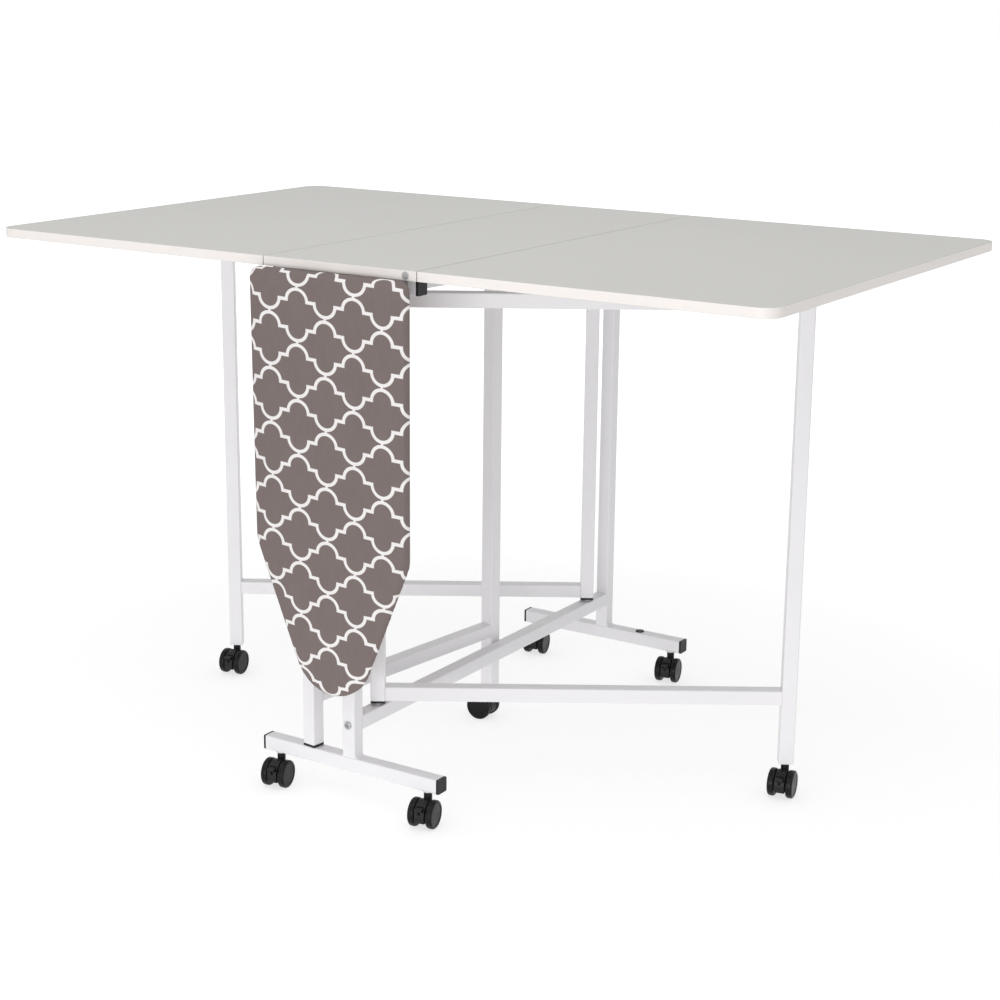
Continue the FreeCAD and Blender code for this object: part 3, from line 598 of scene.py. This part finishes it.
def pad_blank(cover):
    """The pad before it swells: the board's outline, a slab with rounded rims, as an even cloth mesh."""
    front, back = pad_depths(cover)
    bm = board_outline(cover, back, cover.ease)
    made = bmesh.ops.extrude_face_region(bm, geom=bm.faces[:])
    new_verts = [item for item in made["geom"] if isinstance(item, bmesh.types.BMVert)]
    bmesh.ops.translate(bm, verts=new_verts, vec=(0, front - back, 0))
    bmesh.ops.recalc_face_normals(bm, faces=bm.faces[:])
    for depth, radius in ((front, cover.rim), (back, cover.back_rim)):
        edges = [edge for edge in bm.edges
                 if all(abs(vert.co.y - depth) < MERGE_DISTANCE for vert in edge.verts)]
        bmesh.ops.bevel(bm, geom=edges, offset=radius, offset_type="OFFSET", affect="EDGES",
                        segments=RIM_SEGMENTS, profile=0.5, material=-1, clamp_overlap=False)
    blank = add_mesh("ironing_cover_blank", bm)
    remesh = blank.modifiers.new("Even mesh", "REMESH")
    remesh.mode = "VOXEL"
    remesh.voxel_size = cover.mesh_size
    even = evaluated_mesh(blank)
    bpy.data.objects.remove(blank)
    return even


def swell_pad(obj, cover):
    """Blows the front of the pad up a little as cloth, and keeps the result within the swell."""
    rest = [vert.co.copy() for vert in obj.data.vertices]
    held = obj.vertex_groups.new(name="held")
    edge_of_front = pad_depths(cover)[0] + cover.rim
    held.add([i for i, place in enumerate(rest) if place.y > edge_of_front], 1.0, "ADD")
    cloth = obj.modifiers.new("Cloth", "CLOTH")
    cloth.settings.quality = CLOTH_QUALITY
    cloth.settings.use_pressure = True
    cloth.settings.uniform_pressure_force = SWELL_PRESSURE
    cloth.settings.effector_weights.gravity = 0.0
    cloth.settings.vertex_group_mass = "held"
    cloth.point_cache.frame_start = 1
    cloth.point_cache.frame_end = SWELL_FRAMES
    scene = bpy.context.scene
    for number in range(1, SWELL_FRAMES + 1):
        scene.frame_set(number)
    swollen = evaluated_mesh(obj)
    places = [vert.co.copy() for vert in swollen.vertices]
    scene.frame_set(1)
    obj.modifiers.remove(cloth)
    obj.vertex_groups.clear()
    bpy.data.meshes.remove(swollen)
    for vert, start, end in zip(obj.data.vertices, rest, places):
        move = end - start
        if move.length > cover.swell:
            move *= cover.swell / move.length
        vert.co = start + move


def cloth_places(rest, rim, cover):
    """Where each point of the pad lies on the flat cloth, and its place along and round the rim."""
    front, back = pad_depths(cover)
    straight = (back - cover.back_rim) - (front + cover.rim)
    front_turn = cover.rim * math.pi / 2
    back_turn = cover.back_rim * math.pi / 2
    flat, round_rim = [], []
    for place in rest:
        inside, outward, along = rim.find(place)
        past = cover.rim - inside
        if past <= 0 and place.y < front + cover.rim:
            length = past
        elif place.y < front + cover.rim:
            length = cover.rim * math.atan2(past, front + cover.rim - place.y)
        elif place.y < back - cover.back_rim:
            length = front_turn + place.y - front - cover.rim
        elif inside < cover.back_rim:
            turn = math.atan2(place.y - back + cover.back_rim, cover.back_rim - inside)
            length = front_turn + straight + cover.back_rim * turn
        else:
            length = front_turn + straight + back_turn + inside - cover.back_rim
        spot = place + outward * (length - past)
        flat.append((spot.x, spot.z))
        round_rim.append((along, length))
    return flat, round_rim, front_turn + straight + back_turn


def write_uv(mesh, name, places):
    layer = mesh.uv_layers.new(name=name)
    for loop, item in zip(mesh.loops, layer.data):
        item.uv = places[loop.vertex_index]


def clamp(value):
    """Keeps a value between nought and one."""
    return min(max(value, 0.0), 1.0)


def gather_hem(obj, rest, round_rim, hem_start, cover):
    """Small gathers of the hem round the tip, where the cloth is drawn in."""
    gather_end = COVER_LOW.z + cover.gather_height
    for vert, place, (along, length) in zip(obj.data.vertices, rest, round_rim):
        near_tip = clamp((gather_end - place.z) / cover.tip_radius)
        on_hem = clamp((length - hem_start) / cover.gather_fade)
        wave = (1 + math.sin(2 * math.pi * along / cover.pleat_spacing)) / 2
        vert.co.y += cover.pleat_height * near_tip * on_hem * wave


def open_back(obj, rest, rim, cover):
    """Sinks the cloth behind the hem into a pocket, where the deck sits."""
    bm = bmesh.new()
    bm.from_mesh(obj.data)
    bm.verts.ensure_lookup_table()
    back_face = pad_depths(cover)[1] - cover.back_rim
    inner = {i for i, place in enumerate(rest)
             if place.y > back_face and rim.find(place)[0] > cover.hem_width}
    faces = [face for face in bm.faces if all(vert.index in inner for vert in face.verts)]
    edges = {edge for face in faces for edge in face.edges}
    made = bmesh.ops.extrude_face_region(bm, geom=faces + list(edges))
    sunk = [item for item in made["geom"] if isinstance(item, bmesh.types.BMVert)]
    bmesh.ops.translate(bm, verts=sunk, vec=(0, -cover.pocket_depth, 0))
    for face in bm.faces:
        face.smooth = True
    bm.to_mesh(obj.data)
    bm.free()


def make_ironing_cover(cover):
    """The padded cover in place of its plain solid."""
    obj = add_object("padded_ironing_cover", pad_blank(cover))
    rim = Rim(cover)
    rest = [vert.co.copy() for vert in obj.data.vertices]
    swell_pad(obj, cover)
    flat, round_rim, hem_start = cloth_places(rest, rim, cover)
    write_uv(obj.data, "Cloth", flat)
    write_uv(obj.data, "Hem", round_rim)
    gather_hem(obj, rest, round_rim, hem_start, cover)
    open_back(obj, rest, rim, cover)
    subdivide = obj.modifiers.new("Smooth", "SUBSURF")
    subdivide.levels = 1
    subdivide.render_levels = 1
    obj.data.materials.append(cotton_material(cover, hem_start + cover.stitch_inset))
    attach(obj, "ironing_board")
    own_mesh(obj)
    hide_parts("ironing_cover")


# Weld fillets
def weld_fillet(bm, corner, outward, length, weld):
    """A concave bead in the corner between a post's side and the bar below it, running along Y."""
    reach = weld.reach
    foot = bm.verts.new(corner + Vector((outward * reach, 0, 0)))
    centre = corner + Vector((outward * reach, 0, reach))
    head = sweep_vertex(bm, foot, centre, outward * math.pi / 2, weld.steps)
    root = step_vertex(bm, head, corner - Vector((outward * weld.sink, 0, weld.sink)))
    bm.edges.new((root, foot))
    profile = [edge for edge in bm.edges if not edge.link_faces]
    made = bmesh.ops.contextual_create(bm, geom=profile)
    swept = bmesh.ops.extrude_face_region(bm, geom=made["faces"], use_keep_orig=True)
    far_end = [item for item in swept["geom"] if isinstance(item, bmesh.types.BMVert)]
    bmesh.ops.translate(bm, verts=far_end, vec=(0, length, 0))


def make_weld_fillets(weld):
    """Fillets on both sides of the two posts, as one piece."""
    bm = bmesh.new()
    for post in WELDED_POSTS:
        low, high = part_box(post)
        length = high.y - low.y - 2 * weld.tube_corner
        for side, outward in ((low.x, -1), (high.x, 1)):
            weld_fillet(bm, Vector((side, low.y + weld.tube_corner, low.z)), outward, length, weld)
    bmesh.ops.recalc_face_normals(bm, faces=bm.faces[:])
    obj = add_mesh("weld_fillets", bm)
    obj.data.materials.append(bpy.data.materials["white_powder_coat"])
    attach(obj, "frame")


# Stage
def seen_directly(tree):
    """One for rays that show the background itself: camera, mirror and glass rays."""
    path = add_node(tree, "ShaderNodeLightPath")
    direct = calculate(tree, "MAXIMUM", path.outputs["Is Camera Ray"], path.outputs["Is Glossy Ray"])
    return calculate(tree, "MAXIMUM", direct, path.outputs["Is Transmission Ray"])


def show(tree, lit, seen, output):
    """Gives the light one shader, and the rays that show the background another."""
    mixed = add_node(tree, "ShaderNodeMixShader", {"Fac": seen_directly(tree)})
    tree.links.new(lit.outputs[0], mixed.inputs[1])
    tree.links.new(seen.outputs[0], mixed.inputs[2])
    tree.links.new(mixed.outputs[0], tree.nodes[output].inputs["Surface"])


def floor_material(stage):
    """A pale floor for the light, which the camera sees as white with faint shadows."""
    material = bpy.data.materials.new("studio_floor")
    material.use_nodes = True
    tree = material.node_tree
    tree.nodes.remove(tree.nodes["Principled BSDF"])
    lit = add_node(tree, "ShaderNodeBsdfDiffuse", {"Color": shade(stage.floor_colour, factor=1.0)})
    shadow = add_node(tree, "ShaderNodeBsdfDiffuse", {"Color": shade(WHITE[:3], stage.floor_shade)})
    spot = add_node(tree, "ShaderNodeTexCoord").outputs["Object"]
    from_middle = add_node(tree, "ShaderNodeVectorMath", {"Vector": spot}, operation="LENGTH")
    lift = spread(tree, from_middle.outputs["Value"], low=stage.floor_lift, high=1.0,
                  start=stage.floor_fade_start, end=stage.floor_fade_end)
    white = add_node(tree, "ShaderNodeEmission", {"Strength": lift})
    seen = add_node(tree, "ShaderNodeAddShader")
    tree.links.new(shadow.outputs[0], seen.inputs[0])
    tree.links.new(white.outputs[0], seen.inputs[1])
    show(tree, lit, seen, "Material Output")
    return material


def make_floor(stage):
    bm = bmesh.new()
    bmesh.ops.create_grid(bm, x_segments=1, y_segments=1, size=stage.floor_size / 2)
    floor = add_mesh("studio_floor", bm)
    floor.data.materials.append(floor_material(stage))


def make_sky(stage):
    """Even light for the table, in front of plain white."""
    world = bpy.data.worlds.new("studio")
    bpy.context.scene.world = world
    world.use_nodes = True
    tree = world.node_tree
    lit = tree.nodes["Background"]
    lit.inputs["Color"].default_value = WHITE
    lit.inputs["Strength"].default_value = stage.sky
    white = add_node(tree, "ShaderNodeBackground", {"Color": WHITE, "Strength": 1.0})
    show(tree, lit, white, "World Output")


def make_soft_lamp(name, place, width, height, power):
    """A rectangular lamp that faces the middle of the table and isn't seen itself."""
    lamp = bpy.data.lights.new(name, "AREA")
    lamp.shape = "RECTANGLE"
    lamp.energy = power
    lamp.size = width
    lamp.size_y = height
    obj = add_object(name, lamp)
    middle = (CAD_LOW + CAD_HIGH) / 2
    obj.location = place
    obj.rotation_euler = (middle - Vector(place)).to_track_quat("-Z", "Y").to_euler()
    obj.visible_camera = False
    return obj


def make_lamps(stage):
    make_soft_lamp("front_softbox", stage.key_place, stage.key_width, stage.key_height,
                   stage.key_power)
    make_soft_lamp("top_softbox", stage.top_place, stage.top_size, stage.top_size,
                   stage.top_power)
    bounce = make_soft_lamp("floor_bounce", stage.bounce_place, stage.bounce_width,
                            stage.bounce_depth, stage.bounce_power)
    bounce.visible_glossy = False


def make_camera(stage):
    """The camera at the photograph's angle."""
    lens = bpy.data.cameras.new("photo_camera")
    lens.lens = stage.focal_length
    lens.shift_x, lens.shift_y = stage.shift
    camera = add_object("photo_camera", lens)
    a, e = stage.azimuth, stage.elevation
    back = Vector((math.sin(a) * math.cos(e), -math.cos(a) * math.cos(e), math.sin(e)))
    right = Vector((math.cos(a), math.sin(a), 0.0))
    up = back.cross(right)
    turn = Matrix((right, up, back)).transposed() @ Matrix.Rotation(stage.roll, 3, "Z")
    camera.matrix_world = Matrix.Translation(stage.eye) @ turn.to_4x4()
    bpy.context.scene.camera = camera


# Operators and panel
class CUTTING_TABLE_OT_finish_panels(bpy.types.Operator):
    """Lays grey laminate and off-white edging on the three panels"""
    bl_idname = "cutting_table.finish_panels"
    bl_label = "Finish Panels"

    def execute(self, context):
        give_material(PANELS, laminate_material(context.scene.table_finish))
        return {"FINISHED"}


class CUTTING_TABLE_OT_finish_frame(bpy.types.Operator):
    """Powder-coats the square tube of the frame and the gate legs"""
    bl_idname = "cutting_table.finish_frame"
    bl_label = "Finish Frame"

    def execute(self, context):
        names = [name for name in NODES if name.endswith(TUBE_ENDINGS)]
        give_material(names, paint_material(context.scene.table_finish))
        return {"FINISHED"}


class CUTTING_TABLE_OT_make_welds(bpy.types.Operator):
    """Lays weld fillets where the two posts stand on the foot bars"""
    bl_idname = "cutting_table.make_welds"
    bl_label = "Make Welds"

    def execute(self, context):
        make_weld_fillets(context.scene.table_weld)
        return {"FINISHED"}


class CUTTING_TABLE_OT_finish_plastic(bpy.types.Operator):
    """Gives the caps, the plug and the casters their black plastic"""
    bl_idname = "cutting_table.finish_plastic"
    bl_label = "Finish Plastic"

    def execute(self, context):
        finish = context.scene.table_finish
        moulded = [name for name in NODES if name.endswith(PLASTIC_ENDINGS)]
        wheels = [name for name in NODES if name.endswith("_wheels")]
        give_material(moulded, plastic_material("black_plastic", finish.plastic,
                                                roughness=0.42, gloss=0.28, grain=1800.0))
        give_material(wheels, plastic_material("black_wheel", finish.wheel,
                                               roughness=0.30, gloss=0.19, grain=1200.0))
        return {"FINISHED"}


class CUTTING_TABLE_OT_finish_steel(bpy.types.Operator):
    """Plates the hinges, pins, bolts and screws"""
    bl_idname = "cutting_table.finish_steel"
    bl_label = "Finish Steel"

    def execute(self, context):
        names = [name for name in NODES if "hinge" in name or name in STEEL_PIECES]
        give_material(names, steel_material(context.scene.table_finish))
        return {"FINISHED"}


class CUTTING_TABLE_OT_finish_deck(bpy.types.Operator):
    """Gives the ironing board's deck its pressed board"""
    bl_idname = "cutting_table.finish_deck"
    bl_label = "Finish Deck"

    def execute(self, context):
        give_material(["ironing_deck"], deck_material(context.scene.table_finish))
        return {"FINISHED"}


class CUTTING_TABLE_OT_make_cover(bpy.types.Operator):
    """Makes the padded ironing cover with its trellis print"""
    bl_idname = "cutting_table.make_cover"
    bl_label = "Make Ironing Cover"

    def execute(self, context):
        make_ironing_cover(context.scene.table_cover)
        give_material(["ironing_cover"], bpy.data.materials["trellis_cotton"])
        return {"FINISHED"}


class CUTTING_TABLE_OT_set_stage(bpy.types.Operator):
    """Sets the floor, the lights and the camera"""
    bl_idname = "cutting_table.set_stage"
    bl_label = "Set Stage"

    def execute(self, context):
        stage = context.scene.table_stage
        make_floor(stage)
        make_sky(stage)
        make_lamps(stage)
        make_camera(stage)
        context.scene.view_settings.view_transform = "Standard"
        return {"FINISHED"}


class CUTTING_TABLE_PT_panel(bpy.types.Panel):
    """Lists the steps that dress the table"""
    bl_idname = "CUTTING_TABLE_PT_panel"
    bl_label = "Cutting Table"
    bl_space_type = "VIEW_3D"
    bl_region_type = "UI"
    bl_category = "Cutting Table"

    def draw(self, context):
        for step in STEPS:
            self.layout.operator(step.bl_idname)


SETTINGS = {
    "table_finish": FinishSettings,
    "table_cover": CoverSettings,
    "table_weld": WeldSettings,
    "table_stage": StageSettings,
}
STEPS = (
    CUTTING_TABLE_OT_finish_panels,
    CUTTING_TABLE_OT_finish_frame,
    CUTTING_TABLE_OT_make_welds,
    CUTTING_TABLE_OT_finish_plastic,
    CUTTING_TABLE_OT_finish_steel,
    CUTTING_TABLE_OT_finish_deck,
    CUTTING_TABLE_OT_make_cover,
    CUTTING_TABLE_OT_set_stage,
)


def register():
    for name, group in SETTINGS.items():
        bpy.utils.register_class(group)
        setattr(bpy.types.Scene, name, bpy.props.PointerProperty(type=group))
    for step in STEPS:
        bpy.utils.register_class(step)
    bpy.utils.register_class(CUTTING_TABLE_PT_panel)


def unregister():
    bpy.utils.unregister_class(CUTTING_TABLE_PT_panel)
    for step in reversed(STEPS):
        bpy.utils.unregister_class(step)
    for name, group in SETTINGS.items():
        delattr(bpy.types.Scene, name)
        bpy.utils.unregister_class(group)


def main():
    register()
    bpy.ops.cutting_table.finish_panels()
    bpy.ops.cutting_table.finish_frame()
    bpy.ops.cutting_table.make_welds()
    bpy.ops.cutting_table.finish_plastic()
    bpy.ops.cutting_table.finish_steel()
    bpy.ops.cutting_table.finish_deck()
    bpy.ops.cutting_table.make_cover()
    bpy.ops.cutting_table.set_stage()


if __name__ == "__main__":
    main()
